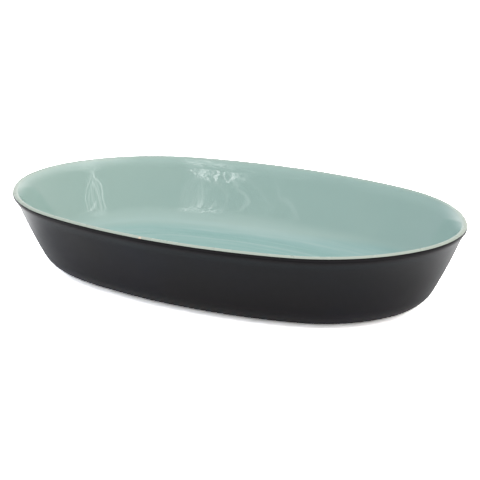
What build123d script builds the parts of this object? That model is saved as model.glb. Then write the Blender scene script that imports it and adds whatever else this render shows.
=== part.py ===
from build123d import *

import math
import os

# An oval suiban, the low wide basin that holds water and a pin holder for ikebana.
# It is slip-cast stoneware, one shaku (303 mm) long, fired with two coats of glaze:
# a glossy celadon lining that runs over the rounded lip, and a satin black coat outside.
# Both coats stop short of the table, so the piece stands on a bare ring of clay.
#
# The basin lies along X and opens towards +Z. The origin is the middle of the footprint,
# on the table. The rim's outline is an oval of eight arcs that meet smoothly. The wall is
# one upright section of arcs that meet smoothly too, carried round at an even inset.

# Overall size, in millimetres
LENGTH = 303.0
WIDTH = 187.5
HEIGHT = 52.0

# Outline of the rim; a turn is the bearing, in degrees from X, where an arc gives way
END_RADIUS = 72.0
END_TURN = 25.0
SHOULDER_TURN = 75.5

# Both faces of the wall; a lean is in degrees from upright
WALL_LEAN = 22.0  # where the gently bowed wall ends and the flare begins
FLARE_LEAN = 37.5  # where the flare ends and the lip begins
LIP_RADIUS = 2.0

# Outside of the wall, from the heel up to the crest of the lip
HEEL_LIFT = 1.2
HEEL_RADIUS = 21.5
WALL_RADIUS = 350.0
FLARE_RADIUS = 25.0

# Inside of the wall, from the floor up to the crest of the lip
FLOOR_HEIGHT = 8.0
BASIN_HEEL_RADIUS = 25.0
BASIN_WALL_RADIUS = 220.0
BASIN_FLARE_RADIUS = 29.0

# Coats of glaze
GLAZE_THICKNESS = 0.6
GLAZE_LINE_DROP = 1.1  # from the crest of the lip down to where the two coats meet

# Foot ring, and the shallow recess inside it with its patch of glaze
FOOT_MARGIN = 1.5  # from where the heel starts in to the ring's outer flank
FOOT_WIDTH = 6.0
FOOT_PARING = 0.5
UNDERSIDE_LIFT = 3.0
UNDERSIDE_GLAZE_MARGIN = 1.5

# The section's arcs are cut into flat facets that keep the model light
FACET_SAG = 0.25  # most that a facet that shows strays from its arc
CLAY_SAG_SHARE = 0.5  # the same for the clay under a coat, as a share of the coat

# Headings of the section's level stretches
LEVEL_OUT, LEVEL_IN = 0.0, math.pi


def rim_arcs():
    """The eight arcs of the rim's outline: (centre, radius, first bearing, turn), in degrees.

    The nose arcs at the two ends are given. The shoulders' radius and the long sides' are
    the two unknowns that make the arcs meet smoothly at the given length and width.
    """
    end, shoulder = math.radians(END_TURN), math.radians(SHOULDER_TURN)
    nose_x = LENGTH / 2 - END_RADIUS
    meet_x = nose_x + END_RADIUS * math.cos(end)
    meet_y = END_RADIUS * math.sin(end)
    bow = (1 - math.sin(shoulder)) / math.cos(shoulder)
    across = math.sin(shoulder) - math.sin(end)
    along = math.cos(end) - math.cos(shoulder)
    shoulder_radius = (WIDTH / 2 - meet_y - bow * meet_x) / (across - bow * along)
    side_radius = (meet_x - shoulder_radius * along) / math.cos(shoulder)
    shoulder_x = meet_x - shoulder_radius * math.cos(end)
    shoulder_y = meet_y - shoulder_radius * math.sin(end)
    side_y = WIDTH / 2 - side_radius

    turn = SHOULDER_TURN - END_TURN
    nose = (END_RADIUS, 2 * END_TURN)
    side = (side_radius, 2 * (90 - SHOULDER_TURN))
    return [
        ((nose_x, 0, 0), nose[0], -END_TURN, nose[1]),
        ((shoulder_x, shoulder_y, 0), shoulder_radius, END_TURN, turn),
        ((0, side_y, 0), side[0], SHOULDER_TURN, side[1]),
        ((-shoulder_x, shoulder_y, 0), shoulder_radius, 180 - SHOULDER_TURN, turn),
        ((-nose_x, 0, 0), nose[0], 180 - END_TURN, nose[1]),
        ((-shoulder_x, -shoulder_y, 0), shoulder_radius, 180 + END_TURN, turn),
        ((0, -side_y, 0), side[0], 180 + SHOULDER_TURN, side[1]),
        ((shoulder_x, -shoulder_y, 0), shoulder_radius, 360 - SHOULDER_TURN, turn),
    ]


def carried_round(section):
    """Ring made by turning an upright section about the centre of each rim arc in turn."""
    sectors = []
    for centre, radius, bearing, turn in rim_arcs():
        place = Location(centre, (0, 0, bearing)) * Location((radius, 0, 0))
        sectors.append(Solid.revolve(section.moved(place), turn, Axis(centre, (0, 0, 1))))
    return sectors[0].fuse(*sectors[1:])


def slab(inset, low, high):
    """Flat oval plate between two heights, at an even inset from the rim's outline."""
    edges = []
    for centre, radius, bearing, turn in rim_arcs():
        middle = Plane(centre).offset(low)
        edges.append(Edge.make_circle(radius - inset, middle, bearing, bearing + turn))
    return Solid.extrude(Face(Wire(edges)), Vector(0, 0, high - low))


def walk(start, arcs):
    """Arcs that follow each other smoothly from a station (outward, height, heading).

    Each is given as a radius and the heading, in radians above the horizontal, that it ends
    with, and turns whichever way leads there. It comes out as (station, curve, end heading),
    where a curve is the radius, negative for a clockwise turn.
    """
    linked = []
    for radius, end in arcs:
        linked.append((start, math.copysign(radius, end - start[2]), end))
        start = station(linked[-1], 1)
    return linked


def station(arc, share):
    """Where a share of an arc's turn is done: (outward, height, heading)."""
    (outward, height, begin), curve, end = arc
    heading = begin + share * (end - begin)
    return (
        outward + curve * (math.sin(heading) - math.sin(begin)),
        height + curve * (math.cos(begin) - math.cos(heading)),
        heading,
    )


def beside(arcs, depth):
    """The same arcs a coat's depth away, to the left of their headings."""
    shifted = []
    for (outward, height, begin), curve, end in arcs:
        place = (outward - depth * math.sin(begin), height + depth * math.cos(begin), begin)
        shifted.append((place, curve - depth, end))
    return shifted


def facets(arcs, sag):
    """The arcs as the fewest chords, equal in each arc, that stray by no more than a sag."""
    run = []
    for arc in arcs:
        (_, _, begin), curve, end = arc
        chord_turn = 2 * math.acos(max(0, 1 - sag / abs(curve)))
        chords = math.ceil(abs(end - begin) / chord_turn)
        steps = [station(arc, step / chords)[:2] for step in range(chords + 1)]
        run += steps if not run else steps[1:]
    return run


def section(*runs):
    """Closed upright face through runs of points (outward, height), in order."""
    points = []
    for run in runs:
        points += [Vector(outward, 0, height) for outward, height in run]
    distinct = [
        point for point, following in zip(points, points[1:] + points[:1])
        if point != following
    ]
    return Face(Wire.make_polygon(distinct))


def upright(lean):
    """Heading of a line that leans this many degrees outward."""
    return math.radians(90 - lean)


def wall_arcs(start_height, heel_radius, wall_radius, flare_radius, lip_rise):
    """The heel, wall and flare of one face, sized to fill the height under the lip.

    The heel's arc hands over to the wall's at the heading h that solves
    rise = heel_radius (1 - cos h) + wall_radius (cos h - cos wall).
    """
    wall, flare = upright(WALL_LEAN), upright(FLARE_LEAN)
    flare_rise = flare_radius * (math.cos(flare) - math.cos(wall))
    rise = HEIGHT - start_height - flare_rise - lip_rise
    level = (rise - heel_radius + wall_radius * math.cos(wall)) / (wall_radius - heel_radius)
    return [(heel_radius, math.acos(level)), (wall_radius, wall), (flare_radius, flare)]


def ending_at(outward, start_height, arcs):
    """Arcs from a level start at this height, placed so that they end this far out."""
    reach = station(walk((0, start_height, LEVEL_OUT), arcs)[-1], 1)[0]
    return walk((outward - reach, start_height, LEVEL_OUT), arcs)


def outer_face():
    """Arcs of the glazed outside, from the heel's underside to the crest.

    The last one is the part of the lip above the glaze line.
    """
    glaze_line = math.acos(GLAZE_LINE_DROP / LIP_RADIUS - 1)
    lip_rise = LIP_RADIUS * (1 + math.cos(upright(FLARE_LEAN)))
    arcs = wall_arcs(HEEL_LIFT, HEEL_RADIUS, WALL_RADIUS, FLARE_RADIUS, lip_rise)
    arcs += [(LIP_RADIUS, glaze_line), (LIP_RADIUS, LEVEL_IN)]
    return ending_at(-LIP_RADIUS, HEEL_LIFT, arcs)


def basin_face():
    """Arcs of the glazed inside, from the edge of the floor up to the crest."""
    lip_rise = LIP_RADIUS * (1 - math.cos(upright(FLARE_LEAN)))
    arcs = wall_arcs(
        FLOOR_HEIGHT, BASIN_HEEL_RADIUS, BASIN_WALL_RADIUS, BASIN_FLARE_RADIUS, lip_rise
    )
    arcs.append((LIP_RADIUS, LEVEL_OUT))
    return ending_at(-LIP_RADIUS, FLOOR_HEIGHT, arcs)


def foot_inset():
    """Inset of the foot ring's outer flank from the rim's outline."""
    return FOOT_MARGIN - outer_face()[0][0][0]


def under(arcs, depth):
    """Points of the clay's face under a coat, shared by the clay and the coat."""
    return facets(beside(arcs, depth), CLAY_SAG_SHARE * GLAZE_THICKNESS)


def stoneware_body():
    """Fired clay: the pot under its glaze, standing on its foot ring.

    The ring's two lower edges are pared back so that they do not chip.
    """
    flank, core = -foot_inset(), -foot_inset() - FOOT_WIDTH
    clay_floor = FLOOR_HEIGHT - GLAZE_THICKNESS
    outside, lip = outer_face()[:-1], outer_face()[-1:]
    ring = carried_round(section(
        [(core, FOOT_PARING), (core + FOOT_PARING, 0)],
        [(flank - FOOT_PARING, 0), (flank, FOOT_PARING)],
        [(flank, HEEL_LIFT + GLAZE_THICKNESS)],
        under(outside, GLAZE_THICKNESS),
        under(lip, GLAZE_THICKNESS),
        under(basin_face(), -GLAZE_THICKNESS)[::-1],
        [(core, clay_floor)],
    ))
    return ring.fuse(slab(-core, UNDERSIDE_LIFT, clay_floor))


def celadon_lining():
    """Glossy lining: over the floor, up the basin, over the lip and down to the glaze line."""
    basin, lip = basin_face(), outer_face()[-1:]
    wall = carried_round(section(
        facets(basin, FACET_SAG),
        facets(lip, FACET_SAG)[::-1],
        under(lip, GLAZE_THICKNESS),
        under(basin, -GLAZE_THICKNESS)[::-1],
    ))
    floor_edge = -basin[0][0][0]
    return wall.fuse(slab(floor_edge, FLOOR_HEIGHT - GLAZE_THICKNESS, FLOOR_HEIGHT))


def black_coat():
    """Satin coat: from the glaze line down the outside and under the heel to the foot ring."""
    outside = outer_face()[:-1]
    return carried_round(section(
        [(-foot_inset(), HEEL_LIFT)],
        facets(outside, FACET_SAG),
        under(outside, GLAZE_THICKNESS)[::-1],
        [(-foot_inset(), HEEL_LIFT + GLAZE_THICKNESS)],
    ))


def underside_glaze():
    """Patch of glaze that seals the clay in the recess, clear of the ring."""
    inset = foot_inset() + FOOT_WIDTH + UNDERSIDE_GLAZE_MARGIN
    return slab(inset, UNDERSIDE_LIFT - GLAZE_THICKNESS, UNDERSIDE_LIFT)


def main():
    os.makedirs("parts", exist_ok=True)
    for piece in (stoneware_body, celadon_lining, black_coat, underside_glaze):
        export_step(piece(), os.path.join("parts", piece.__name__ + ".step"))


main()
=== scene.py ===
"""Oval basin for flower arranging: celadon inside, satin black outside, on a bare clay foot."""
import math

import bpy
import numpy as np
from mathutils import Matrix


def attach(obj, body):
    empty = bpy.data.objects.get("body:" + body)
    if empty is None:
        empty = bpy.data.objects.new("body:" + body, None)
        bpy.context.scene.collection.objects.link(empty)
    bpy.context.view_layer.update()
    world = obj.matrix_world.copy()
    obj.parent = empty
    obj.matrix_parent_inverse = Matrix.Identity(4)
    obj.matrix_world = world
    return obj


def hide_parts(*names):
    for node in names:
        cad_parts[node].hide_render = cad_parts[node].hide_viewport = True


bl_info = {
    "name": "Oval Glazed Basin",
    "version": (1, 0, 0),
    "blender": (4, 5, 0),
    "location": "3D View > Sidebar > Basin",
    "description": "Builds a glazed stoneware basin, its finishes and a plain studio",
    "category": "Object",
}

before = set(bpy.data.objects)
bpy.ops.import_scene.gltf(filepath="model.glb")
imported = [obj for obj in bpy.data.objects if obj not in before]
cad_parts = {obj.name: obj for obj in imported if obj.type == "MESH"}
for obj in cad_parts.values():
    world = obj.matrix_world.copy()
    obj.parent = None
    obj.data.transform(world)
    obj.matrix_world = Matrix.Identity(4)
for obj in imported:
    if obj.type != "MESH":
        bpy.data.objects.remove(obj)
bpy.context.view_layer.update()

MM = 0.001

# Headings of the section's level stretches
LEVEL_OUT, LEVEL_IN = 0.0, math.pi

# Bearings at which the rim is worked out, and the share of length in how points are spread
RIM_SAMPLES, LENGTH_SHARE = 2880, 0.65

# Points round the rim, and steps along each part of a face: heel, wall, flare and lip, where
# the outer lip has one count below the glaze line and one above it
AROUND = 640
OUTER_STEPS, HIDDEN_OUTER_STEPS = (26, 26, 10, 12, 10), (12, 4, 3, 3, 3)
BASIN_STEPS, HIDDEN_BASIN_STEPS = (30, 24, 12, 12), (12, 4, 3, 4)
FLOOR_RINGS, HIDDEN_RINGS, PATCH_RINGS, PATCH_BACK_RINGS = 26, 12, 20, 8
COAT_BEAD_POINTS, PATCH_BEAD_POINTS = 7, 9
EDGE_STEPS, SOLE_POINTS = 6, 7

# Unevenness: seed, shortest and longest wave in metres
WAVE_COUNT = 14
LINING_SWELL, COAT_SWELL = (11, 0.022, 0.075), (12, 0.03, 0.09)
COAT_EDGE, PATCH_EDGE = (31, 0.012, 0.05), (41, 0.012, 0.06)

# How the unevenness dies out near the lip and the heel, and how the two free edges stray
SWELL_FADE, HEEL_SWELL_FADE = 6 * MM, 2 * MM
LIP_SWELL_MARGIN, LIP_SWELL_SHARE = 0.4 * MM, 0.15
COAT_EDGE_STRAY, COAT_EDGE_SHIFT = 0.25 * MM, 0.2 * MM
PATCH_EDGE_STRAY, PATCH_EDGE_SHIFT = 0.7 * MM, -0.6 * MM

# What a remap gives at the two ends of its span
RISING, FALLING = (0.0, 1.0), (1.0, 0.0)

# Celadon. Heights count up from the floor, drops down the face from the glaze line and insets
# in from the rim; the spans of the painted shade at one end and of its tilt, and the end spans,
# are shares of the length, from the middle
# Painted shade: the pooled colour spreads over one end and rises higher there, darkening that end
# as the light falls
SHADED_END_SPAN, SHADED_END_SHARE = (0.15, 0.5), 0.12
SHADE_TILT_SPAN, SHADE_POOL_TILT = (-0.08, 0.35), 7.0 * MM
POOL_HEIGHTS, POOL_SHARE, MOTTLE_SHARE = (0.2 * MM, 6.0 * MM), 0.85, 0.10
# Painted reflection: paler streaks in rings that follow the heel, low in the basin
REFLECTION_STREAK_SCALE, REFLECTION_STREAK_RINGS, REFLECTION_STREAK_MASK = 8.0, 130.0, (0.42, 0.62)
REFLECTION_STREAK_HEIGHTS, REFLECTION_STREAK_SHARES = (2 * MM, 12 * MM), (0.55, 0.06)
REFLECTION_STREAK_INSETS, REFLECTION_STREAK_MIDDLE = (45 * MM, 75 * MM), 0.25
LINE_DRIFT, END_SPAN = 0.6 * MM, (0.36, 0.43)
# Painted highlight: a pale band under the lip at both ends, where the lip's inner curve mirrors
# the bright tent
HIGHLIGHT_DROPS, HIGHLIGHT_POWER = (2.5 * MM, 12.0 * MM), 1.5
HIGHLIGHT_START, HIGHLIGHT_SHARE = (2.0 * MM, 3.5 * MM), 0.75
THIN_DROPS, THIN_POWER = (1.2 * MM, 7.0 * MM), 2.1
FLECK_ALONG, FLECK_INSET, FLECK_DEPTH = -5.6 * MM, 0.5 * MM, 0.8 * MM
FLECK_EDGE, FLECK_SHARE = (0.4 * MM, 1.4 * MM), 0.9
CELADON_INDEX, CELADON_ROUGHNESS = 1.55, (0.02, 0.035)
LIP_DROPS, LIP_ROUGHNESS = (2.5 * MM, 4.5 * MM), 0.25

# Black. Heights count from the crest, except that the rise of the painted reflection starts at a
# height over the table, and that the edge and the painted shade in the heel's sheen count up from
# the heel's underside
# Painted reflection: a bluish band in the crease under the lip and a rise towards the top, where
# the satin black mirrors the light
CREASE_HEIGHTS, CREASE_END = (-11.0 * MM, -6.5 * MM), (-6.0 * MM, -3.8 * MM)
CREASE_POWER, CREASE_SHARES = 1.8, (0.75, 0.35)
UPPER_START, UPPER_END, UPPER_SHARE = 12.0 * MM, -8.0 * MM, 0.22
WARM_HEIGHTS = (-5.5 * MM, -3.5 * MM)
EDGE_HEIGHTS, EDGE_SHARE = (0.0, 1.2 * MM), 0.6
STREAK_STRETCH = (0.25, 0.25, 5.0)
# Painted shade: the sheen dims under the lip and at the heel, where the glaze mirrors its own
# shadow and the shadowed floor
LIP_SHADE_HEIGHTS, LIP_SHADE_SHEENS = (-5.0 * MM, -2.8 * MM), (1.0, 0.32)
HEEL_SHADE_HEIGHTS, HEEL_SHADE_SHEENS = (0.0, 9.0 * MM), (0.25, 0.5)
BLACK_INDEX, BLACK_ROUGHNESS = 1.31, (0.280, 0.295)

# Clay
CLAY_DEEPER, GROG_SHARE, CLAY_ROUGHNESS = 0.35, 0.7, (0.85, 0.95)

# Fine ripple: scales of its noise, and depths of dimple and pebble on each surface in metres
DIMPLE_SCALE, PEBBLE_SCALE = 110.0, 900.0
CELADON_RIPPLE, BLACK_RIPPLE = (0.000003, 0.0000004), (0.000008, 0.0000005)
CLAY_RIPPLE = (0.00004, 0.00004)

# Studio. An aim is a bearing and an elevation in degrees, seen from the basin; the span of a
# backdrop is in cosines of the angle from its aim, and the overhead span in upward parts
WHITE = (1.0, 1.0, 1.0)
BRIGHT_SIDE, DIM_CLOTH, BRIGHT_CLOTH = (100, 0), (0.66, 0.71, 0.77), (1.10, 1.07, 1.03)
BACKDROP_AIM, BACKDROP_SPAN, BACKDROP = (-149, 5), (0.72, 0.97), (1.08, 1.08, 1.07)
OVERHEAD_SPAN, OVERHEAD = (0.58, 0.82), (1.20, 1.21, 1.23)
FLOOR_REACH, FLOOR_POINTS, GLOW_SPAN = 4.0, 9, (0.147, 0.22)
LAMP_AIM, LAMP_DISTANCE, LAMP_SIZE, LAMP_POWER = (20, 80), 1.6, 1.6, 2.0
SENSOR_WIDTH, CAMERA_RANGE = 36.0, (0.05, 30.0)

# How the tent's gathers and slits are drawn: the first span is in cosines of the angle from
# their aim, and the others are in units of their own width and height
SAME_SIDE, GATHER_FADE = (0.5, 0.7), (0.45, 1.0)
PLEAT_BREAKS, PLEAT_RIDGE = 1.3, (0.0, 0.06)
HEM_BEND_SCALE, HEM_BEND = 9.0, 0.6
INNER_HEM, INNER_HEM_SHARE = 0.55, 0.6

# Where they are: in each row an aim, a value for each label, and the gain in brightness
TENT_FEATURES = (
    ("Gathered Cloth", ("Width", "Height", "Pleats", "Seed"), (
        (-9, 27.2, 0.160, 0.060, 8.0, 3.0, 7.0),
        (-12, 45, 0.150, 0.200, 9.0, 5.0, 6.0),
        (86, 27, 0.100, 0.050, 3.5, 9.0, 2.5),
        (96, 52, 0.150, 0.170, 5.0, 13.0, 3.5),
    )),
    ("Hemmed Slit", ("Width", "Height", "Lean", "Hem"), (
        (88, 37, 0.150, 0.20, 0.25, 0.10, 3.6),
        (85, 35, 0.060, 0.14, 0.15, 0.25, 2.2),
        (103, 37, 0.200, 0.014, 0.20, 0.60, 2.4),
        (-8, 37, 0.035, 0.16, 0.0, 0.20, 1.3),
        (-13, 36, 0.12, 0.20, 0.0, 0.08, 1.2),
        (-19, 37, 0.23, 0.24, 0.0, 0.06, 0.9),
    )),
)


def length_property(name, description, default, least=0.0):
    """Float property for a length in metres, with its default in millimetres."""
    return bpy.props.FloatProperty(
        name=name, description=description, default=default * MM, min=least,
        unit="LENGTH", subtype="DISTANCE", precision=5,
    )


def angle_property(name, description, default):
    """Float property for an angle, given in degrees."""
    return bpy.props.FloatProperty(
        name=name, description=description, default=math.radians(default),
        unit="ROTATION", subtype="ANGLE",
    )


def gain_property(name, description, default):
    """Float property for a brightness."""
    return bpy.props.FloatProperty(name=name, description=description, default=default, min=0.0)


def colour_property(name, description, default):
    """Colour property in linear red, green and blue."""
    return bpy.props.FloatVectorProperty(
        name=name, description=description, default=default, size=3,
        min=0.0, max=1.0, subtype="COLOR",
    )


class BasinSizes(bpy.types.PropertyGroup):
    """Sizes of the pot and its coats of glaze"""
    length: length_property("Length", "Rim, end to end", 303.0)
    width: length_property("Width", "Rim, side to side", 187.5)
    height: length_property("Height", "Table to the crest of the lip", 52.0)
    end_radius: length_property("End Radius", "Radius of the rim's two ends", 72.0)
    end_turn: angle_property("End Turn", "Bearing where an end gives way to a shoulder", 25.0)
    shoulder_turn: angle_property(
        "Shoulder Turn", "Bearing where a shoulder gives way to a side", 75.5)
    blend_turn: angle_property(
        "Blend Turn", "Spread that eases one arc of the rim into the next", 2.0)
    wall_lean: angle_property("Wall Lean", "Lean of the wall under the flare", 22.0)
    flare_lean: angle_property("Flare Lean", "Lean of the wall under the lip", 37.5)
    lip_radius: length_property("Lip Radius", "Roundness of the lip", 2.0)
    heel_lift: length_property("Heel Lift", "Table to the underside of the heel", 1.2)
    heel_radius: length_property("Heel Radius", "Outer heel", 21.5)
    wall_radius: length_property("Wall Radius", "Bow of the outer wall", 350.0)
    flare_radius: length_property("Flare Radius", "Outer flare", 25.0)
    floor_height: length_property("Floor Height", "Table to the basin's floor", 8.0)
    basin_heel_radius: length_property("Basin Heel Radius", "Inner heel", 25.0)
    basin_wall_radius: length_property("Basin Wall Radius", "Bow of the inner wall", 220.0)
    basin_flare_radius: length_property("Basin Flare Radius", "Inner flare", 29.0)
    glaze_thickness: length_property("Glaze Thickness", "Each coat of glaze", 0.6)
    glaze_line_drop: length_property("Glaze Line Drop", "Crest to where the coats meet", 0.95)
    foot_margin: length_property("Foot Margin", "Start of the heel to the foot ring", 1.5)
    foot_width: length_property("Foot Width", "Width of the foot ring", 6.0)
    foot_paring: length_property("Foot Paring", "Softened edges of the foot ring", 0.5)
    underside_lift: length_property("Underside Lift", "Table to the recess", 3.0)
    underside_margin: length_property(
        "Underside Margin", "Foot ring to the glaze in the recess", 1.5)
    waviness: length_property("Waviness", "Rise and fall of the thrown and glazed surface", 0.1)


class GlazeColours(bpy.types.PropertyGroup):
    """Colours of the glazes and the clay, and of the painted shade, reflections and highlight laid
    on the glazes
    """
    celadon: colour_property("Celadon", "Lining on the wall", (0.362, 0.494, 0.450))
    # Glaze pooled thick at the heel, also used as painted shade over one end
    celadon_pool_and_shade: colour_property(
        "Pooled And Shaded Celadon", "Lining where it runs thick", (0.258, 0.432, 0.408))
    # Painted reflection in paler streaks round the heel
    celadon_reflection_streak: colour_property(
        "Reflected Celadon", "Paler sweeps that follow the heel", (0.372, 0.515, 0.490))
    celadon_thin: colour_property(
        "Thin Celadon", "Lining where it breaks over the lip", (0.395, 0.452, 0.385))
    # Painted highlight under the lip at both ends
    celadon_painted_highlight: colour_property(
        "Highlight Celadon", "Lining below the lip at both ends", (0.56, 0.67, 0.63))
    black: colour_property("Black", "Coat outside", (0.0090, 0.0094, 0.0160))
    black_warm: colour_property(
        "Warm Black", "Coat where it is brownish", (0.0100, 0.0090, 0.0102))
    # Painted reflection of the studio light in the crease under the lip
    black_painted_reflection: colour_property(
        "Reflected Black", "Coat in the crease under the lip", (0.0150, 0.0200, 0.0230))
    black_thin: colour_property(
        "Thin Black", "Coat where it breaks at an edge", (0.014, 0.011, 0.009))
    clay: colour_property("Clay", "Bare foot ring", (0.330, 0.265, 0.205))
    grog: colour_property("Grog", "Dark grains in the clay", (0.110, 0.080, 0.060))
    fleck: colour_property("Fleck", "Speck of iron in the glaze on the lip", (0.80, 0.62, 0.46))
    floor: colour_property("Floor", "Studio floor as the basin sees it", (0.86, 0.86, 0.86))


class StudioSettings(bpy.types.PropertyGroup):
    """Where the camera stands and how bright the studio is"""
    azimuth: angle_property("Azimuth", "Camera's bearing round the basin", 30.508)
    elevation: angle_property("Elevation", "Camera's height above level", 17.205)
    field: angle_property("Field of View", "Angle the frame takes in", 18.0)
    distance: length_property("Distance", "Camera to the point that it faces", 1037.654)
    facing_x: length_property(
        "Facing X", "Point on the table that the camera faces", -38.379, least=-FLOOR_REACH)
    facing_y: length_property(
        "Facing Y", "Point on the table that the camera faces", 75.701, least=-FLOOR_REACH)
    world_strength: gain_property("World", "Brightness of the studio's walls", 1.0)
    floor_gain: gain_property("Floor Gain", "How far over white the camera sees the floor", 5.0)
    floor_haze: gain_property("Floor Haze", "Light that the camera sees even in the shadow", 0.12)
    floor_glow: gain_property("Floor Glow", "Light off the far floor that the glazes mirror", 1.5)


def rim_support(sizes, bearings):
    """How far the rim's tangent lies from the centre, for each bearing of its normal.

    An arc of centre c and radius r has support c . n + r. The oval is eight such arcs that
    meet smoothly. Their support is blurred by a Gaussian in bearing, so that the curvature
    changes gradually, and is then set back to the exact length and width with
    level + swing cos(2 bearing).
    """
    a, b, r = sizes.length / 2, sizes.width / 2, sizes.end_radius
    end, shoulder = sizes.end_turn, sizes.shoulder_turn
    meet_x, meet_y = a - r + r * math.cos(end), r * math.sin(end)
    bow = (1 - math.sin(shoulder)) / math.cos(shoulder)
    across = math.sin(shoulder) - math.sin(end)
    along = math.cos(end) - math.cos(shoulder)
    shoulder_radius = (b - meet_y - bow * meet_x) / (across - bow * along)
    side_radius = (meet_x - shoulder_radius * along) / math.cos(shoulder)
    centres = np.array([
        (a - r, 0.0),
        (meet_x - shoulder_radius * math.cos(end), meet_y - shoulder_radius * math.sin(end)),
        (0.0, b - side_radius),
    ])
    radii = np.array([r, shoulder_radius, side_radius])

    even = np.linspace(0, 2 * math.pi, RIM_SAMPLES, endpoint=False)
    folded = np.abs((even + math.pi / 2) % math.pi - math.pi / 2)
    arc = (folded > end).astype(int) + (folded > shoulder)
    support = centres[arc, 0] * np.cos(folded) + centres[arc, 1] * np.sin(folded) + radii[arc]
    spectrum = np.fft.rfft(support)
    blur = np.exp(-0.5 * (np.arange(len(spectrum)) * sizes.blend_turn) ** 2)
    blur[:3] = 1
    support = np.fft.irfft(spectrum * blur, len(even))
    wrong_end, wrong_side = a - support[0], b - support[len(even) // 4]
    level, swing = (wrong_end + wrong_side) / 2, (wrong_end - wrong_side) / 2
    support += level + swing * np.cos(2 * even)

    turned = np.fft.rfft(support)
    order = 1j * np.arange(len(turned))
    slope = np.fft.irfft(turned * order, len(even))
    bend = np.fft.irfft(turned * order ** 2, len(even))
    closed = np.append(even, 2 * math.pi)
    return tuple(
        np.interp(bearings % (2 * math.pi), closed, np.append(row, row[0]))
        for row in (support, slope, support + bend)
    )


def even_bearings(sizes, count):
    """Bearings whose points lie about evenly along the rim.

    Arc length is the radius of curvature summed over bearing. The count of steps is shared
    out by a mix of arc length and bearing, so that the tight ends keep enough of them.
    """
    fine = np.linspace(0, 2 * math.pi, 2 * RIM_SAMPLES + 1)
    radius = rim_support(sizes, fine)[2]
    gone = np.concatenate([[0], np.cumsum((radius[1:] + radius[:-1]) / 2)])
    mixed = LENGTH_SHARE * gone / gone[-1] + (1 - LENGTH_SHARE) * fine / fine[-1]
    return np.interp(np.arange(count) / count, mixed, fine)


def upright(lean):
    """Heading of a line that leans outward by this angle."""
    return math.pi / 2 - lean


def follow(place, heading, turns):
    """Rows (outward, height, heading) along arcs that meet smoothly.

    As the heading h turns on an arc of radius r, the place moves by
    r (sin h - sin start, cos start - cos h).
    """
    rows = [np.array([[place[0], place[1], heading]])]
    for radius, end, steps in turns:
        curve = math.copysign(radius, end - heading)
        headings = np.linspace(heading, end, steps + 1)[1:]
        outward, height = rows[-1][-1, :2]
        rows.append(np.stack([
            outward + curve * (np.sin(headings) - math.sin(heading)),
            height + curve * (math.cos(heading) - np.cos(headings)),
            headings,
        ], axis=1))
        heading = end
    return np.concatenate(rows)


def wall_turns(sizes, start_height, heel, wall, flare, lip_rise, steps):
    """Heel, wall and flare of one face, sized to fill the height under the lip."""
    wall_heading, flare_heading = upright(sizes.wall_lean), upright(sizes.flare_lean)
    flare_rise = flare * (math.cos(flare_heading) - math.cos(wall_heading))
    rise = sizes.height - start_height - flare_rise - lip_rise
    level = (rise - heel + wall * math.cos(wall_heading)) / (wall - heel)
    return [
        (heel, math.acos(level), steps[0]),
        (wall, wall_heading, steps[1]),
        (flare, flare_heading, steps[2]),
    ]


def outer_face(sizes, steps=OUTER_STEPS):
    """Rows of the glazed outside: up to the glaze line, and from there over to the crest."""
    glaze_line = math.acos(sizes.glaze_line_drop / sizes.lip_radius - 1)
    lip_rise = sizes.lip_radius * (1 + math.cos(upright(sizes.flare_lean)))
    turns = wall_turns(
        sizes, sizes.heel_lift, sizes.heel_radius, sizes.wall_radius, sizes.flare_radius,
        lip_rise, steps,
    )
    turns += [(sizes.lip_radius, glaze_line, steps[3]), (sizes.lip_radius, LEVEL_IN, steps[4])]
    rows = follow((0, sizes.heel_lift), LEVEL_OUT, turns)
    rows[:, 0] -= rows[-1, 0] + sizes.lip_radius
    return rows[:-steps[4]], rows[-steps[4] - 1:]


def basin_face(sizes, steps=BASIN_STEPS):
    """Rows of the glazed inside, from the edge of the floor up to the crest."""
    lip_rise = sizes.lip_radius * (1 - math.cos(upright(sizes.flare_lean)))
    turns = wall_turns(
        sizes, sizes.floor_height, sizes.basin_heel_radius, sizes.basin_wall_radius,
        sizes.basin_flare_radius, lip_rise, steps,
    )
    turns.append((sizes.lip_radius, LEVEL_OUT, steps[3]))
    rows = follow((0, sizes.floor_height), LEVEL_OUT, turns)
    rows[:, 0] -= rows[-1, 0] + sizes.lip_radius
    return rows


def beside(rows, depth):
    """The same rows moved this far to the left of their headings."""
    moved = rows.copy()
    moved[:, 0] -= depth * np.sin(rows[:, 2])
    moved[:, 1] += depth * np.cos(rows[:, 2])
    return moved


def foot_inset(sizes):
    """Inset of the foot ring's outer flank from the rim's outline."""
    return sizes.foot_margin - outer_face(sizes)[0][0, 0]


def stations(rows):
    """Stations (outward, height, scale) from rows, at full scale."""
    return np.column_stack([rows[:, :2], np.ones(len(rows))])


def level_disc(outward, height, count, inward):
    """Stations across a level oval, from its edge to near its middle or back out.

    The scale falls evenly from 1 at the edge towards 0 at the middle.
    """
    scale = np.linspace(1, 0, count + 1)[1:-1]
    if not inward:
        scale = scale[::-1]
    return np.stack([np.full(len(scale), outward), np.full(len(scale), height), scale], axis=1)


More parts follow.
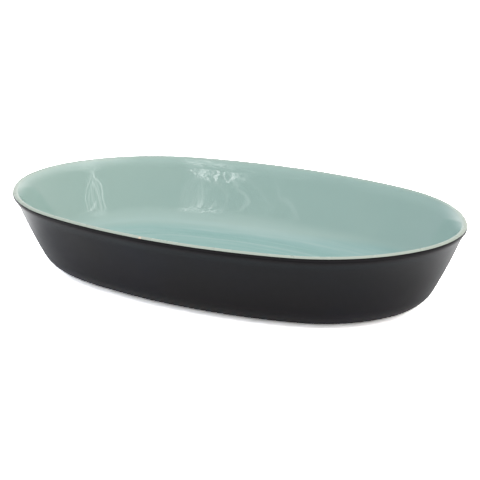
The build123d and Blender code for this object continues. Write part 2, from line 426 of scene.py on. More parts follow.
def carried_round(sizes, track, bearings, stray=None):
    """Points of a grid: each station of a track at each bearing.

    With normal n and tangent t at a bearing, support p and its slope p', the point is
    scale ((p + outward) n + p' t), so a scale below 1 draws it in to the middle. A stray
    adds to outward, station by bearing.
    """
    support, slope, _ = rim_support(sizes, bearings)
    normal = np.stack([np.cos(bearings), np.sin(bearings)], axis=1)
    tangent = np.stack([-np.sin(bearings), np.cos(bearings)], axis=1)
    outward = track[:, 0, None] + (0 if stray is None else stray)
    flat = (support + outward)[..., None] * normal + slope[:, None] * tangent
    points = np.empty(flat.shape[:2] + (3,))
    points[..., :2] = flat * track[:, 2, None, None]
    points[..., 2] = track[:, 1, None]
    return points


def unevenness(points, seed, shortest, longest):
    """Smooth rise and fall at each point, about -1 to 1.

    It is a sum of seeded plane waves, share sin(point . vector + phase), with lengths
    between the two limits and shares in proportion to their lengths.
    """
    rng = np.random.default_rng(seed)
    lengths = np.exp(rng.uniform(math.log(shortest), math.log(longest), WAVE_COUNT))
    directions = rng.normal(size=(WAVE_COUNT, 3))
    directions /= np.linalg.norm(directions, axis=1)[:, None]
    vectors = 2 * math.pi * directions / lengths[:, None]
    phases = rng.uniform(0, 2 * math.pi, WAVE_COUNT)
    shares = lengths / longest
    total = np.zeros(points.shape[:-1])
    for vector, phase, share in zip(vectors, phases, shares):
        total += share * np.sin(points @ vector + phase)
    return total / math.sqrt((shares ** 2).sum())


def grid_normals(points):
    """Unit normals of a grid, to the left of its track: along crossed with around."""
    around = np.roll(points, -1, axis=1) - np.roll(points, 1, axis=1)
    normal = np.cross(np.gradient(points, axis=0), around)
    return normal / np.linalg.norm(normal, axis=-1, keepdims=True)


def added(name, data):
    """New object in the scene, at the origin."""
    thing = bpy.data.objects.new(name, data)
    bpy.context.scene.collection.objects.link(thing)
    return thing


def grid_mesh(name, points, poles=None):
    """Mesh object from a grid that closes round, with its outside to the left of its track.

    Point (i, j) joins (i + 1, j), (i + 1, j + 1) and (i, j + 1). Without poles the last
    station joins the first; with poles each end fans in to its own middle point.
    """
    count, around = points.shape[:2]
    number = np.arange(count * around).reshape(count, around)
    beyond = np.roll(number, -1, axis=1)
    if poles is None:
        low, low_next = number, beyond
        high, high_next = np.roll(number, -1, axis=0), np.roll(beyond, -1, axis=0)
    else:
        low, low_next, high, high_next = number[:-1], beyond[:-1], number[1:], beyond[1:]
    faces = np.stack([low, high, high_next, low_next], axis=-1).reshape(-1, 4).tolist()
    vertices = points.reshape(-1, 3)
    if poles is not None:
        first, last = len(vertices), len(vertices) + 1
        faces += np.stack([number[0], beyond[0], np.full(around, first)], axis=1).tolist()
        faces += np.stack([beyond[-1], number[-1], np.full(around, last)], axis=1).tolist()
        vertices = np.concatenate([vertices, poles])
    mesh = bpy.data.meshes.new(name)
    mesh.from_pydata(vertices.tolist(), [], faces)
    mesh.shade_smooth()
    return added(name, mesh)


def mark(piece, name, values):
    """Stores one number per vertex under a name that a material reads."""
    layer = piece.data.attributes.new(name, "FLOAT", "POINT")
    layer.data.foreach_set("value", values.astype(np.float32).ravel())


def dress(piece, material, node):
    """Gives a finished piece its material and its body, and hides the solid that it stands for."""
    piece.data.materials.append(material)
    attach(piece, "root")
    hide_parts(node)


class Network:
    """Short way to write a node tree: makes nodes, sets their sockets and links them."""

    def __init__(self, tree):
        self.tree = tree

    def add(self, kind, sockets=None, **settings):
        """New node of a kind, with its settings and what goes into its sockets."""
        node = self.tree.nodes.new(kind)
        for key, value in settings.items():
            setattr(node, key, value)
        for key, value in (sockets or {}).items():
            self.put(node, key, value)
        return node

    def put(self, node, key, value):
        """Links another node's output to an input, or sets the input to a plain value."""
        socket = node.inputs[key]
        if isinstance(value, bpy.types.NodeSocket):
            self.tree.links.new(value, socket)
        else:
            socket.default_value = value

    def place(self, kind="Object"):
        """Texture coordinates of a kind."""
        return self.add("ShaderNodeTexCoord").outputs[kind]

    def ray(self, kind):
        """1 for a kind of ray and 0 for all others."""
        return self.add("ShaderNodeLightPath").outputs[kind]

    def attribute(self, name):
        """Number stored on the piece under a name."""
        return self.add("ShaderNodeAttribute", attribute_name=name).outputs["Fac"]

    def split(self, vector):
        """Outputs X, Y and Z of a vector."""
        return self.add("ShaderNodeSeparateXYZ", {"Vector": vector}).outputs

    def join(self, x, y, z=0.0):
        """Vector from its three parts."""
        return self.add("ShaderNodeCombineXYZ", {"X": x, "Y": y, "Z": z}).outputs[0]

    def noise(self, place, scale, detail=2.0, roughness=0.5, distortion=0.0):
        """Cloudy noise at a place, about 0 to 1."""
        return self.add("ShaderNodeTexNoise", {
            "Vector": place, "Scale": scale, "Detail": detail, "Roughness": roughness,
            "Distortion": distortion,
        }).outputs["Fac"]

    def remap(self, value, span, result=RISING):
        """Eases a value over a span into a result that stays level beyond both ends."""
        return self.add("ShaderNodeMapRange", {
            "Value": value, "From Min": span[0], "From Max": span[1],
            "To Min": result[0], "To Max": result[1],
        }, interpolation_type="SMOOTHSTEP").outputs["Result"]

    def maths(self, operation, first, second=0.0):
        """Result of an operation on two numbers."""
        return self.add("ShaderNodeMath", {0: first, 1: second}, operation=operation).outputs[0]

    def plus(self, first, second):
        """Sum of two numbers."""
        return self.maths("ADD", first, second)

    def minus(self, first, second):
        """Difference of two numbers."""
        return self.maths("SUBTRACT", first, second)

    def times(self, first, second):
        """Product of two numbers."""
        return self.maths("MULTIPLY", first, second)

    def gap(self, first, second):
        """How far two numbers are apart."""
        return self.maths("ABSOLUTE", self.minus(first, second))

    def vector(self, operation, *given):
        """Result of an operation on vectors, which for some operations is a number."""
        node = self.add("ShaderNodeVectorMath", dict(enumerate(given)), operation=operation)
        return node.outputs[int(operation in ("DOT_PRODUCT", "LENGTH", "DISTANCE"))]

    def blend(self, share, first, second):
        """Mix of two colours, each an output or red, green and blue."""
        ends = [
            end if isinstance(end, bpy.types.NodeSocket) else (*end, 1.0)
            for end in (first, second)
        ]
        sockets = {0: share, 6: ends[0], 7: ends[1]}
        return self.add("ShaderNodeMix", sockets, data_type="RGBA").outputs[2]

    def group(self, name, sockets):
        """Output of a shared node group, which is made on first use."""
        tree = bpy.data.node_groups.get(name) or GROUP_MAKERS[name](name)
        return self.add("ShaderNodeGroup", sockets, node_tree=tree).outputs[0]


def emptied(owner):
    """Network of a material or a world, cleared of its first nodes."""
    owner.use_nodes = True
    owner.node_tree.nodes.clear()
    return Network(owner.node_tree)


def new_group(name, inputs, output):
    """Empty shader node group: its network, what its inputs give and its output's node.

    An input with a default is a number, and one without is a vector.
    """
    tree = bpy.data.node_groups.new(name, "ShaderNodeTree")
    for label, default in inputs.items():
        kind = "NodeSocketVector" if default is None else "NodeSocketFloat"
        socket = tree.interface.new_socket(label, in_out="INPUT", socket_type=kind)
        if default is not None:
            socket.default_value = default
    kind = "NodeSocketVector" if output == "Normal" else "NodeSocketFloat"
    tree.interface.new_socket(output, in_out="OUTPUT", socket_type=kind)
    net = Network(tree)
    return net, net.add("NodeGroupInput").outputs, net.add("NodeGroupOutput")


def ripple_group(name):
    """Fine unevenness of a fired surface: broad dimples and a fine pebble, as a normal."""
    net, given, result = new_group(name, {
        "Place": None, "Dimple Depth": 0.00003, "Pebble Depth": 0.000004,
    }, "Normal")
    dimple = net.noise(given["Place"], DIMPLE_SCALE, 1.0)
    pebble = net.noise(given["Place"], PEBBLE_SCALE, 2.0)
    height = net.plus(
        net.times(dimple, given["Dimple Depth"]), net.times(pebble, given["Pebble Depth"]))
    bump = net.add("ShaderNodeBump", {"Strength": 1.0, "Distance": 1.0, "Height": height})
    net.put(result, "Normal", bump.outputs["Normal"])
    return net.tree


def mottle_group(name):
    """Cloudy variation of a fired surface, as a mask between 0 and 1."""
    net, given, result = new_group(name, {
        "Place": None, "Scale": 25.0, "Low": 0.35, "High": 0.65,
    }, "Mask")
    cloud = net.noise(given["Place"], given["Scale"], 5.0, 0.55, 0.4)
    net.put(result, "Mask", net.remap(cloud, (given["Low"], given["High"])))
    return net.tree


def speck_group(name):
    """Scattered small specks, as a mask: 1 within a radius of sparse cell centres."""
    net, given, result = new_group(name, {
        "Place": None, "Scale": 120.0, "Radius": 0.12, "Sparsity": 0.9,
    }, "Mask")
    cells = net.add("ShaderNodeTexVoronoi", {
        "Vector": given["Place"], "Scale": given["Scale"], "Randomness": 1.0})
    near = net.maths("LESS_THAN", cells.outputs["Distance"], given["Radius"])
    pick = net.add("ShaderNodeSeparateColor", {"Color": cells.outputs["Color"]})
    chosen = net.maths("GREATER_THAN", pick.outputs[0], given["Sparsity"])
    net.put(result, "Mask", net.times(near, chosen))
    return net.tree


def seen_beside(net, direction, aim):
    """Direction beside an aim: its parts across it, up from it and along it."""
    across = net.vector("NORMALIZE", net.vector("CROSS_PRODUCT", (0.0, 0.0, 1.0), aim))
    upward = net.vector("CROSS_PRODUCT", aim, across)
    return [net.vector("DOT_PRODUCT", direction, axis) for axis in (across, upward, aim)]


def gather_group(name):
    """Cloth gathered at a seam of the light tent: bright narrow pleats that fade outwards."""
    net, given, result = new_group(name, {
        "Direction": None, "Toward": None, "Width": 0.1, "Height": 0.1, "Pleats": 2.5, "Seed": 0.0,
    }, "Mask")
    across, up, front = seen_beside(net, given["Direction"], given["Toward"])
    across = net.maths("DIVIDE", across, given["Width"])
    up = net.maths("DIVIDE", up, given["Height"])
    far = net.vector("LENGTH", net.join(across, up))
    spot = net.join(
        net.times(across, given["Pleats"]), net.times(up, PLEAT_BREAKS), given["Seed"])
    ridge = net.remap(net.gap(net.noise(spot, 1.0), 0.5), PLEAT_RIDGE, FALLING)
    mask = net.times(ridge, net.remap(far, GATHER_FADE, FALLING))
    net.put(result, "Mask", net.times(mask, net.remap(front, SAME_SIDE)))
    return net.tree


def slit_group(name):
    """Long opening in the light tent: a bright double hem round a pointed oval."""
    net, given, result = new_group(name, {
        "Direction": None, "Toward": None, "Width": 0.1, "Height": 0.1, "Lean": 0.0, "Hem": 0.12,
    }, "Mask")
    across, up, front = seen_beside(net, given["Direction"], given["Toward"])
    bend = net.minus(net.noise(given["Direction"], HEM_BEND_SCALE, 1.0), 0.5)
    across = net.plus(across, net.times(bend, net.times(given["Width"], HEM_BEND)))
    across = net.minus(across, net.times(up, given["Lean"]))
    across = net.maths("ABSOLUTE", net.maths("DIVIDE", across, given["Width"]))
    up = net.maths("POWER", net.maths("DIVIDE", up, given["Height"]), 2.0)
    out = net.plus(across, up)
    hem = net.remap(net.gap(out, 1.0), (0.0, given["Hem"]), FALLING)
    inner = net.remap(
        net.gap(out, INNER_HEM), (0.0, given["Hem"]), (INNER_HEM_SHARE, 0.0))
    mask = net.times(net.plus(hem, inner), net.remap(front, SAME_SIDE))
    net.put(result, "Mask", mask)
    return net.tree


GROUP_MAKERS = {
    "Glaze Ripple": ripple_group,
    "Kiln Mottle": mottle_group,
    "Iron Specks": speck_group,
    "Gathered Cloth": gather_group,
    "Hemmed Slit": slit_group,
}


def shifted(span, base):
    """Both ends of a span, counted from a base."""
    return base + span[0], base + span[1]


def scaled(span, size):
    """Both ends of a span that is given as shares of a size."""
    return size * span[0], size * span[1]


def finished(name, recipe, *settings):
    """Material made by a recipe, which gives the ripple's depths and the shader's sockets."""
    material = bpy.data.materials.new(name)
    net = emptied(material)
    place = net.place()
    ripple, sockets = recipe(net, place, *settings)
    sockets["Normal"] = net.group("Glaze Ripple", {
        "Place": place, "Dimple Depth": ripple[0], "Pebble Depth": ripple[1]})
    shader = net.add("ShaderNodeBsdfPrincipled", sockets)
    net.add("ShaderNodeOutputMaterial", {"Surface": shader.outputs[0]})
    return material


def celadon(net, place, sizes, colours):
    """Glossy celadon: deeper where it pools at the heel, pale where it thins over the lip; with
    painted shade over one end, painted reflections in streaks round the heel and a painted
    highlight under the lip at both ends.
    """
    parts = net.split(place)
    along, height = parts["X"], parts["Z"]
    mottle = net.group("Kiln Mottle", {"Place": place, "Scale": 14.0})
    drift = net.group("Kiln Mottle", {
        "Place": place, "Scale": 55.0, "Low": 0.3, "High": 0.75})

    # Painted shade: one end of the lining darkened, drawn as pooled glaze that spreads and rises
    # at that end
    end_shade = net.remap(along, scaled(SHADED_END_SPAN, sizes.length), (0.0, SHADED_END_SHARE))
    shade_tilt = net.remap(along, scaled(SHADE_TILT_SPAN, sizes.length), (0.0, SHADE_POOL_TILT))
    pool_and_shade = net.remap(
        net.minus(height, shade_tilt), shifted(POOL_HEIGHTS, sizes.floor_height),
        (POOL_SHARE, 0.0))
    pool_and_shade = net.maths(
        "MAXIMUM", pool_and_shade, net.plus(end_shade, net.times(mottle, MOTTLE_SHARE)))
    colour = net.blend(pool_and_shade, colours.celadon, colours.celadon_pool_and_shade)

    # Painted reflection: paler streaks in rings that follow the heel, strongest just above the
    # floor
    inset = net.attribute("inset")
    drawn = net.join(
        net.times(along, REFLECTION_STREAK_SCALE), net.times(parts["Y"], REFLECTION_STREAK_SCALE),
        net.times(inset, REFLECTION_STREAK_RINGS))
    reflection_streaks = net.remap(net.noise(drawn, 1.0, 3.0, 0.6), REFLECTION_STREAK_MASK)
    reflection_streaks = net.times(reflection_streaks, net.remap(
        height, shifted(REFLECTION_STREAK_HEIGHTS, sizes.floor_height), REFLECTION_STREAK_SHARES))
    reflection_streaks = net.times(reflection_streaks, net.remap(inset, REFLECTION_STREAK_INSETS, (1.0, REFLECTION_STREAK_MIDDLE)))
    colour = net.blend(reflection_streaks, colour, colours.celadon_reflection_streak)

    drop = net.plus(net.attribute("from_line"), net.times(drift, LINE_DRIFT))
    # Painted highlight: pale band below the lip at both ends
    at_end = net.remap(net.maths("ABSOLUTE", along), scaled(END_SPAN, sizes.length))
    pale = net.maths("POWER", net.remap(drop, HIGHLIGHT_DROPS, FALLING), HIGHLIGHT_POWER)
    pale = net.times(pale, net.remap(drop, HIGHLIGHT_START, (0.0, HIGHLIGHT_SHARE)))
    colour = net.blend(net.times(pale, at_end), colour, colours.celadon_painted_highlight)
    thin = net.maths("POWER", net.remap(drop, THIN_DROPS, FALLING), THIN_POWER)
    colour = net.blend(thin, colour, colours.celadon_thin)

    fleck = (FLECK_ALONG, FLECK_INSET - sizes.width / 2, sizes.height - FLECK_DEPTH)
    spot = net.remap(net.vector("DISTANCE", place, fleck), FLECK_EDGE, (FLECK_SHARE, 0.0))
    colour = net.blend(spot, colour, colours.fleck)
    roughness = net.plus(
        net.remap(drift, (0, 1), CELADON_ROUGHNESS),
        net.remap(drop, LIP_DROPS, (LIP_ROUGHNESS, 0.0)))
    return CELADON_RIPPLE, {"Base Color": colour, "Roughness": roughness, "IOR": CELADON_INDEX}


def satin_black(net, place, sizes, colours):
    """Satin black: faintly blue, brownish in clouds, with a painted reflection in the crease under
    the lip that also rises up the wall, and painted shade that dims its sheen under the lip and at
    the heel.
    """
    height = net.split(place)["Z"]
    cloud = net.group("Kiln Mottle", {"Place": place, "Scale": 9.0})
    streak = net.group("Kiln Mottle", {
        "Place": net.vector("MULTIPLY", place, STREAK_STRETCH), "Scale": 90.0,
        "Low": 0.3, "High": 0.7})
    colour = net.blend(cloud, colours.black, colours.black_warm)

    # Painted reflection: bluish band in the crease under the lip, plus a rise from low on the
    # wall, both ending at the lip
    crease = net.remap(height, shifted(CREASE_HEIGHTS, sizes.height))
    crease = net.maths("POWER", crease, CREASE_POWER)
    crease = net.times(crease, net.remap(cloud, (0, 1), CREASE_SHARES))
    upper = net.remap(height, (UPPER_START, sizes.height + UPPER_END), (0.0, UPPER_SHARE))
    crease = net.times(net.plus(crease, upper), net.remap(
        height, shifted(CREASE_END, sizes.height), FALLING))
    colour = net.blend(crease, colour, colours.black_painted_reflection)
    warm = net.remap(height, shifted(WARM_HEIGHTS, sizes.height))
    colour = net.blend(warm, colour, colours.black_warm)
    edge = net.remap(height, shifted(EDGE_HEIGHTS, sizes.heel_lift), (EDGE_SHARE, 0.0))
    colour = net.blend(net.times(edge, streak), colour, colours.black_thin)

    # Painted shade: sheen lowered under the lip and near the heel, standing in for shadowed
    # reflections
    shaded_sheen = net.times(
        net.remap(height, shifted(LIP_SHADE_HEIGHTS, sizes.height), LIP_SHADE_SHEENS),
        net.remap(height, shifted(HEEL_SHADE_HEIGHTS, sizes.heel_lift), HEEL_SHADE_SHEENS))
    return BLACK_RIPPLE, {
        "Base Color": colour, "Roughness": net.remap(streak, (0, 1), BLACK_ROUGHNESS),
        "IOR": BLACK_INDEX, "Specular IOR Level": shaded_sheen}


def bare_clay(net, place, colours):
    """Bare fired clay: sponged, dry, with dark grog and open grain."""
    mottle = net.group("Kiln Mottle", {"Place": place, "Scale": 90.0})
    specks = net.group("Iron Specks", {
        "Place": place, "Scale": 900.0, "Radius": 0.3, "Sparsity": 0.75})
    deeper = net.blend(CLAY_DEEPER, colours.clay, colours.grog)
    colour = net.blend(mottle, colours.clay, deeper)
    colour = net.blend(net.times(specks, GROG_SHARE), colour, colours.grog)
    roughness = net.remap(mottle, (0, 1), CLAY_ROUGHNESS)
    return CLAY_RIPPLE, {"Base Color": colour, "Roughness": roughness}


def build_lining(sizes, colours):
    """Celadon lining: floor, heel, wall and lip down to the glaze line, and its clay side."""
    bearings = even_bearings(sizes, AROUND)
    basin = basin_face(sizes)
    lip = outer_face(sizes)[1]
    depth = sizes.glaze_thickness
    back_lip = beside(outer_face(sizes, HIDDEN_OUTER_STEPS)[1], depth)
    back_basin = beside(basin_face(sizes, HIDDEN_BASIN_STEPS), -depth)
    front = np.concatenate([
        level_disc(basin[0, 0], basin[0, 1], FLOOR_RINGS, inward=False),
        stations(basin),
        stations(lip[::-1])[1:],
    ])
    back = np.concatenate([
        stations(back_lip),
        stations(back_basin[::-1])[1:],
        level_disc(back_basin[0, 0], back_basin[0, 1], HIDDEN_RINGS, inward=True),
    ])
    shown = carried_round(sizes, front, bearings)
    hidden = carried_round(sizes, back, bearings)
    swell = unevenness(shown, *LINING_SWELL) * sizes.waviness
    below = sizes.height + LIP_SWELL_MARGIN - shown[..., 2]
    keep = np.clip(below / SWELL_FADE, LIP_SWELL_SHARE, 1)
    shown += grid_normals(shown) * (swell * keep)[..., None]
    middle = unevenness(np.array([[0, 0, sizes.floor_height]]), *LINING_SWELL)[0]
    poles = [(0, 0, sizes.floor_height + middle * sizes.waviness),
             (0, 0, sizes.floor_height - depth)]
    piece = grid_mesh("celadon_lining_surface", np.concatenate([shown, hidden]), poles)

    gone = np.cumsum(np.hypot(np.diff(front[:, 0]), np.diff(front[:, 1])))
    drop = gone[-1] - gone
    from_line = np.concatenate([[drop[0]], drop, np.full(len(back), drop[0])])
    mark(piece, "from_line", np.append(np.repeat(from_line, AROUND), [drop[0]] * len(poles)))
    track = np.concatenate([front, back])
    inset = (1 - track[:, 2]) * sizes.end_radius - track[:, 0]
    centre = sizes.end_radius + inset.min()
    mark(piece, "inset", np.append(np.repeat(inset, AROUND), [centre] * len(poles)))
    material = finished("celadon glaze", celadon, sizes, colours)
    dress(piece, material, "celadon_lining")


def bead(outward, height, radii, turn):
    """Stations round a thick edge, at each angle of a half turn that starts underneath."""
    return np.column_stack([
        outward + radii[0] * np.cos(turn), height + radii[1] * np.sin(turn), np.ones(len(turn))])


def build_coat(sizes, colours):
    """Black coat: from the glaze line down the outside to a rounded edge at the foot ring."""
    bearings = even_bearings(sizes, AROUND)
    outside = outer_face(sizes)[0]
    depth = sizes.glaze_thickness
    inside = beside(outer_face(sizes, HIDDEN_OUTER_STEPS)[0], depth)
    turn = np.linspace(-math.pi / 2, -3 * math.pi / 2, COAT_BEAD_POINTS)
    edge = bead(depth / 2 - foot_inset(sizes), sizes.heel_lift + depth / 2, [depth / 2] * 2, turn)
    track = np.concatenate([stations(outside[::-1]), edge, stations(inside)])
    turns = unevenness(carried_round(sizes, edge[:1], bearings), *COAT_EDGE)[0]
    stray = np.zeros((len(track), AROUND))
    on_edge = slice(len(outside), len(outside) + len(edge))
    stray[on_edge] = COAT_EDGE_STRAY * np.clip(turns, -1, 1) + COAT_EDGE_SHIFT
    points = carried_round(sizes, track, bearings, stray)
    shown = points[:len(outside)]
    swell = unevenness(shown, *COAT_SWELL) * sizes.waviness
    keep = np.clip((sizes.height - shown[..., 2] - sizes.glaze_line_drop) / SWELL_FADE, 0.0, 1)
    keep = np.minimum(keep, np.clip((shown[..., 2] - sizes.heel_lift) / HEEL_SWELL_FADE, 0, 1))
    shown += grid_normals(shown) * (swell * keep)[..., None]
    piece = grid_mesh("black_coat_surface", points)
    material = finished("black glaze", satin_black, sizes, colours)
    dress(piece, material, "black_coat")


def build_body(sizes, colours):
    """Fired clay: the pot under its glaze, the sponged foot ring and the recess inside it."""
    bearings = even_bearings(sizes, AROUND)
    depth, paring = sizes.glaze_thickness, sizes.foot_paring
    flank = -foot_inset(sizes)
    core = flank - sizes.foot_width
    below, above = outer_face(sizes, HIDDEN_OUTER_STEPS)
    outside = np.concatenate([beside(below, depth), beside(above, depth)[1:]])
    inside = beside(basin_face(sizes, HIDDEN_BASIN_STEPS), -depth)
    outer_edge = follow((flank - paring, 0), LEVEL_OUT, [(paring, math.pi / 2, EDGE_STEPS)])
    inner_edge = follow((core, paring), -math.pi / 2, [(paring, LEVEL_OUT, EDGE_STEPS)])
    sole = np.zeros((SOLE_POINTS, 3))
    sole[:, 0] = np.linspace(core + paring, flank - paring, SOLE_POINTS + 2)[1:-1]
    track = np.concatenate([
        level_disc(core, sizes.underside_lift, HIDDEN_RINGS, inward=False),
        [(core, sizes.underside_lift, 1.0)],
        stations(inner_edge),
        stations(sole),
        stations(outer_edge),
        [(flank, sizes.heel_lift + depth, 1.0)],
        stations(outside),
        stations(inside[-2::-1]),
        level_disc(inside[0, 0], inside[0, 1], HIDDEN_RINGS, inward=True),
    ])
    points = carried_round(sizes, track[::-1], bearings)
    poles = [(0, 0, sizes.floor_height - depth), (0, 0, sizes.underside_lift)]
    piece = grid_mesh("stoneware_body_surface", points, poles)
    material = finished("fired clay", bare_clay, colours)
    dress(piece, material, "stoneware_body")


def build_underside(sizes, colours):
    """Glaze in the recess: a thin patch with a wavy, rounded edge."""
    bearings = even_bearings(sizes, AROUND // 2)
    depth = sizes.glaze_thickness
    edge = -foot_inset(sizes) - sizes.foot_width - sizes.underside_margin
    top, low = sizes.underside_lift, sizes.underside_lift - depth
    turn = np.linspace(-math.pi / 2, math.pi / 2, PATCH_BEAD_POINTS)
    brink = bead(edge - depth, (top + low) / 2, (depth, depth / 2), turn)
    track = np.concatenate([
        level_disc(edge - depth, low, PATCH_RINGS, inward=False), brink,
        level_disc(edge - depth, top, PATCH_BACK_RINGS, inward=True),
    ])
    outermost = brink[[PATCH_BEAD_POINTS // 2]]
    turns = unevenness(carried_round(sizes, outermost, bearings), *PATCH_EDGE)[0]
    stray = np.tile(PATCH_EDGE_STRAY * np.clip(turns, -1, 1) + PATCH_EDGE_SHIFT, (len(track), 1))
    points = carried_round(sizes, track[::-1], bearings, stray)
    piece = grid_mesh("underside_glaze_surface", points, [(0, 0, top), (0, 0, low)])
    material = finished("black glaze", satin_black, sizes, colours)
    dress(piece, material, "underside_glaze")


def floor_material(colours, studio):
    """White floor: the camera sees it lifted, and glossy glazes see it glow further off."""
    material = bpy.data.materials.new("studio floor")
    net = emptied(material)
    seen = net.ray("Is Camera Ray")
    colour = net.blend(seen, colours.floor, [studio.floor_gain] * 3)
    matt = net.add("ShaderNodeBsdfDiffuse", {"Color": colour})
    away = net.vector("LENGTH", net.place())
    glow = net.times(
        net.remap(away, GLOW_SPAN, (0.0, studio.floor_glow)), net.ray("Is Glossy Ray"))
    haze = net.add("ShaderNodeEmission", {
        "Color": (*WHITE, 1.0),
        "Strength": net.plus(net.times(seen, studio.floor_haze), glow)})
    both = net.add("ShaderNodeAddShader", {0: matt.outputs[0], 1: haze.outputs[0]})
    net.add("ShaderNodeOutputMaterial", {"Surface": both.outputs[0]})
    return material


def toward(bearing, elevation):
    """Unit vector from the basin at this bearing and elevation, in radians."""
    level = math.cos(elevation)
    return math.sin(bearing) * level, -math.cos(bearing) * level, math.sin(elevation)


def build_world(studio):
    """Light tent: pale cloth, dimmer at one side, with gathers and slits; white behind."""
    world = bpy.data.worlds.new("studio")
    bpy.context.scene.world = world
    net = emptied(world)
    direction = net.place("Generated")
    side = net.vector("DOT_PRODUCT", direction, toward(*np.radians(BRIGHT_SIDE)))
    colour = net.blend(net.remap(side, (-1, 1)), DIM_CLOTH, BRIGHT_CLOTH)
    behind = net.vector("DOT_PRODUCT", direction, toward(*np.radians(BACKDROP_AIM)))
    colour = net.blend(net.remap(behind, BACKDROP_SPAN), colour, BACKDROP)
    rise = net.split(direction)["Z"]
    colour = net.blend(net.remap(rise, OVERHEAD_SPAN), colour, OVERHEAD)
    glow = 0.0
    for name, labels, rows in TENT_FEATURES:
        for bearing, elevation, *values, gain in rows:
            mask = net.group(name, {
                "Direction": direction, "Toward": toward(*np.radians((bearing, elevation))),
                **dict(zip(labels, values))})
            glow = net.plus(glow, net.times(mask, gain))
    colour = net.vector("ADD", colour, glow)
    seen = net.ray("Is Camera Ray")
    colour = net.blend(seen, colour, WHITE)
    strength = net.add("ShaderNodeMix", {"Factor": seen, "A": studio.world_strength, "B": 1.0})
    sky = net.add("ShaderNodeBackground", {"Color": colour, "Strength": strength.outputs[0]})
    net.add("ShaderNodeOutputWorld", {"Surface": sky.outputs[0]})


def stand(name, data, centre, bearing, elevation, distance):
    """Stands a lamp or a camera at a distance from a centre on the table, facing it."""
    thing = added(name, data)
    thing.location = [
        start + distance * step for start, step in zip(centre, toward(bearing, elevation))]
    thing.rotation_euler = (math.pi / 2 - elevation, 0, bearing)
    return thing


def build_stage(colours, studio):
    """Floor, studio light and the camera."""
    side = np.linspace(-FLOOR_REACH, FLOOR_REACH, FLOOR_POINTS)
    x, y = np.meshgrid(side, side)
    points = np.stack([x, y, np.zeros_like(x)], axis=-1).reshape(-1, 3)
    number = np.arange(FLOOR_POINTS ** 2).reshape(FLOOR_POINTS, FLOOR_POINTS)
    quads = np.stack([number[:-1, :-1], number[:-1, 1:], number[1:, 1:], number[1:, :-1]], axis=-1)
    mesh = bpy.data.meshes.new("studio_floor")
    mesh.from_pydata(points.tolist(), [], quads.reshape(-1, 4).tolist())
    mesh.materials.append(floor_material(colours, studio))
    floor = added("studio_floor", mesh)
    build_world(studio)

    light = bpy.data.lights.new("overhead", "AREA")
    light.size, light.energy = LAMP_SIZE, LAMP_POWER
    lamp = stand("overhead", light, (0, 0, 0), *np.radians(LAMP_AIM), LAMP_DISTANCE)
    lamp.visible_camera = False

    view = bpy.data.cameras.new("camera")
    view.sensor_width = SENSOR_WIDTH
    view.lens = SENSOR_WIDTH / 2 / math.tan(studio.field / 2)
    view.clip_start, view.clip_end = CAMERA_RANGE
    bpy.context.scene.camera = stand(
        "camera", view, (studio.facing_x, studio.facing_y, 0),
        studio.azimuth, studio.elevation, studio.distance)
    bpy.context.scene.view_settings.view_transform = "Standard"


class BASIN_OT_lining(bpy.types.Operator):
    """Build the celadon lining of the basin"""
    bl_idname = "basin.lining"
    bl_label = "Celadon Lining"
    bl_options = {"REGISTER", "UNDO"}

    def execute(self, context):
        build_lining(context.scene.basin_sizes, context.scene.basin_colours)
        return {"FINISHED"}


class BASIN_OT_coat(bpy.types.Operator):
    """Build the satin black coat outside"""
    bl_idname = "basin.coat"
    bl_label = "Black Coat"
    bl_options = {"REGISTER", "UNDO"}

    def execute(self, context):
        build_coat(context.scene.basin_sizes, context.scene.basin_colours)
        return {"FINISHED"}


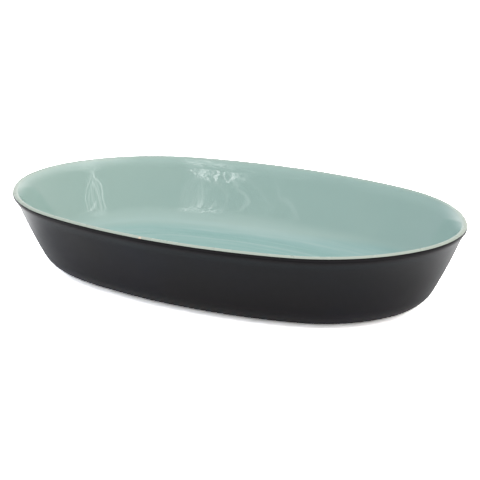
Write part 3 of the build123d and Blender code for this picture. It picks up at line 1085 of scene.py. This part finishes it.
class BASIN_OT_body(bpy.types.Operator):
    """Build the fired clay body with its foot ring"""
    bl_idname = "basin.body"
    bl_label = "Clay Body"
    bl_options = {"REGISTER", "UNDO"}

    def execute(self, context):
        build_body(context.scene.basin_sizes, context.scene.basin_colours)
        return {"FINISHED"}


class BASIN_OT_underside(bpy.types.Operator):
    """Build the patch of glaze in the recess underneath"""
    bl_idname = "basin.underside"
    bl_label = "Underside Glaze"
    bl_options = {"REGISTER", "UNDO"}

    def execute(self, context):
        build_underside(context.scene.basin_sizes, context.scene.basin_colours)
        return {"FINISHED"}


class BASIN_OT_stage(bpy.types.Operator):
    """Build the floor, the studio light and the camera"""
    bl_idname = "basin.stage"
    bl_label = "Studio"
    bl_options = {"REGISTER", "UNDO"}

    def execute(self, context):
        build_stage(context.scene.basin_colours, context.scene.basin_studio)
        return {"FINISHED"}


OPERATORS = (BASIN_OT_lining, BASIN_OT_coat, BASIN_OT_body, BASIN_OT_underside, BASIN_OT_stage)


class BASIN_PT_pieces(bpy.types.Panel):
    """Buttons that build the basin, piece by piece"""
    bl_label = "Basin"
    bl_idname = "BASIN_PT_pieces"
    bl_space_type = "VIEW_3D"
    bl_region_type = "UI"
    bl_category = "Basin"

    def draw(self, context):
        for operator in OPERATORS:
            self.layout.operator(operator.bl_idname)


GROUPS = (BasinSizes, GlazeColours, StudioSettings)


def register():
    """Registers the classes and hangs the settings on the scene."""
    for item in (*GROUPS, *OPERATORS, BASIN_PT_pieces):
        bpy.utils.register_class(item)
    bpy.types.Scene.basin_sizes = bpy.props.PointerProperty(type=BasinSizes)
    bpy.types.Scene.basin_colours = bpy.props.PointerProperty(type=GlazeColours)
    bpy.types.Scene.basin_studio = bpy.props.PointerProperty(type=StudioSettings)


def unregister():
    """Takes the settings and the classes away again."""
    del bpy.types.Scene.basin_sizes
    del bpy.types.Scene.basin_colours
    del bpy.types.Scene.basin_studio
    for item in reversed((*GROUPS, *OPERATORS, BASIN_PT_pieces)):
        bpy.utils.unregister_class(item)


def main():
    """Builds everything in order."""
    register()
    bpy.ops.basin.lining()
    bpy.ops.basin.coat()
    bpy.ops.basin.body()
    bpy.ops.basin.underside()
    bpy.ops.basin.stage()


if __name__ == "__main__":
    main()
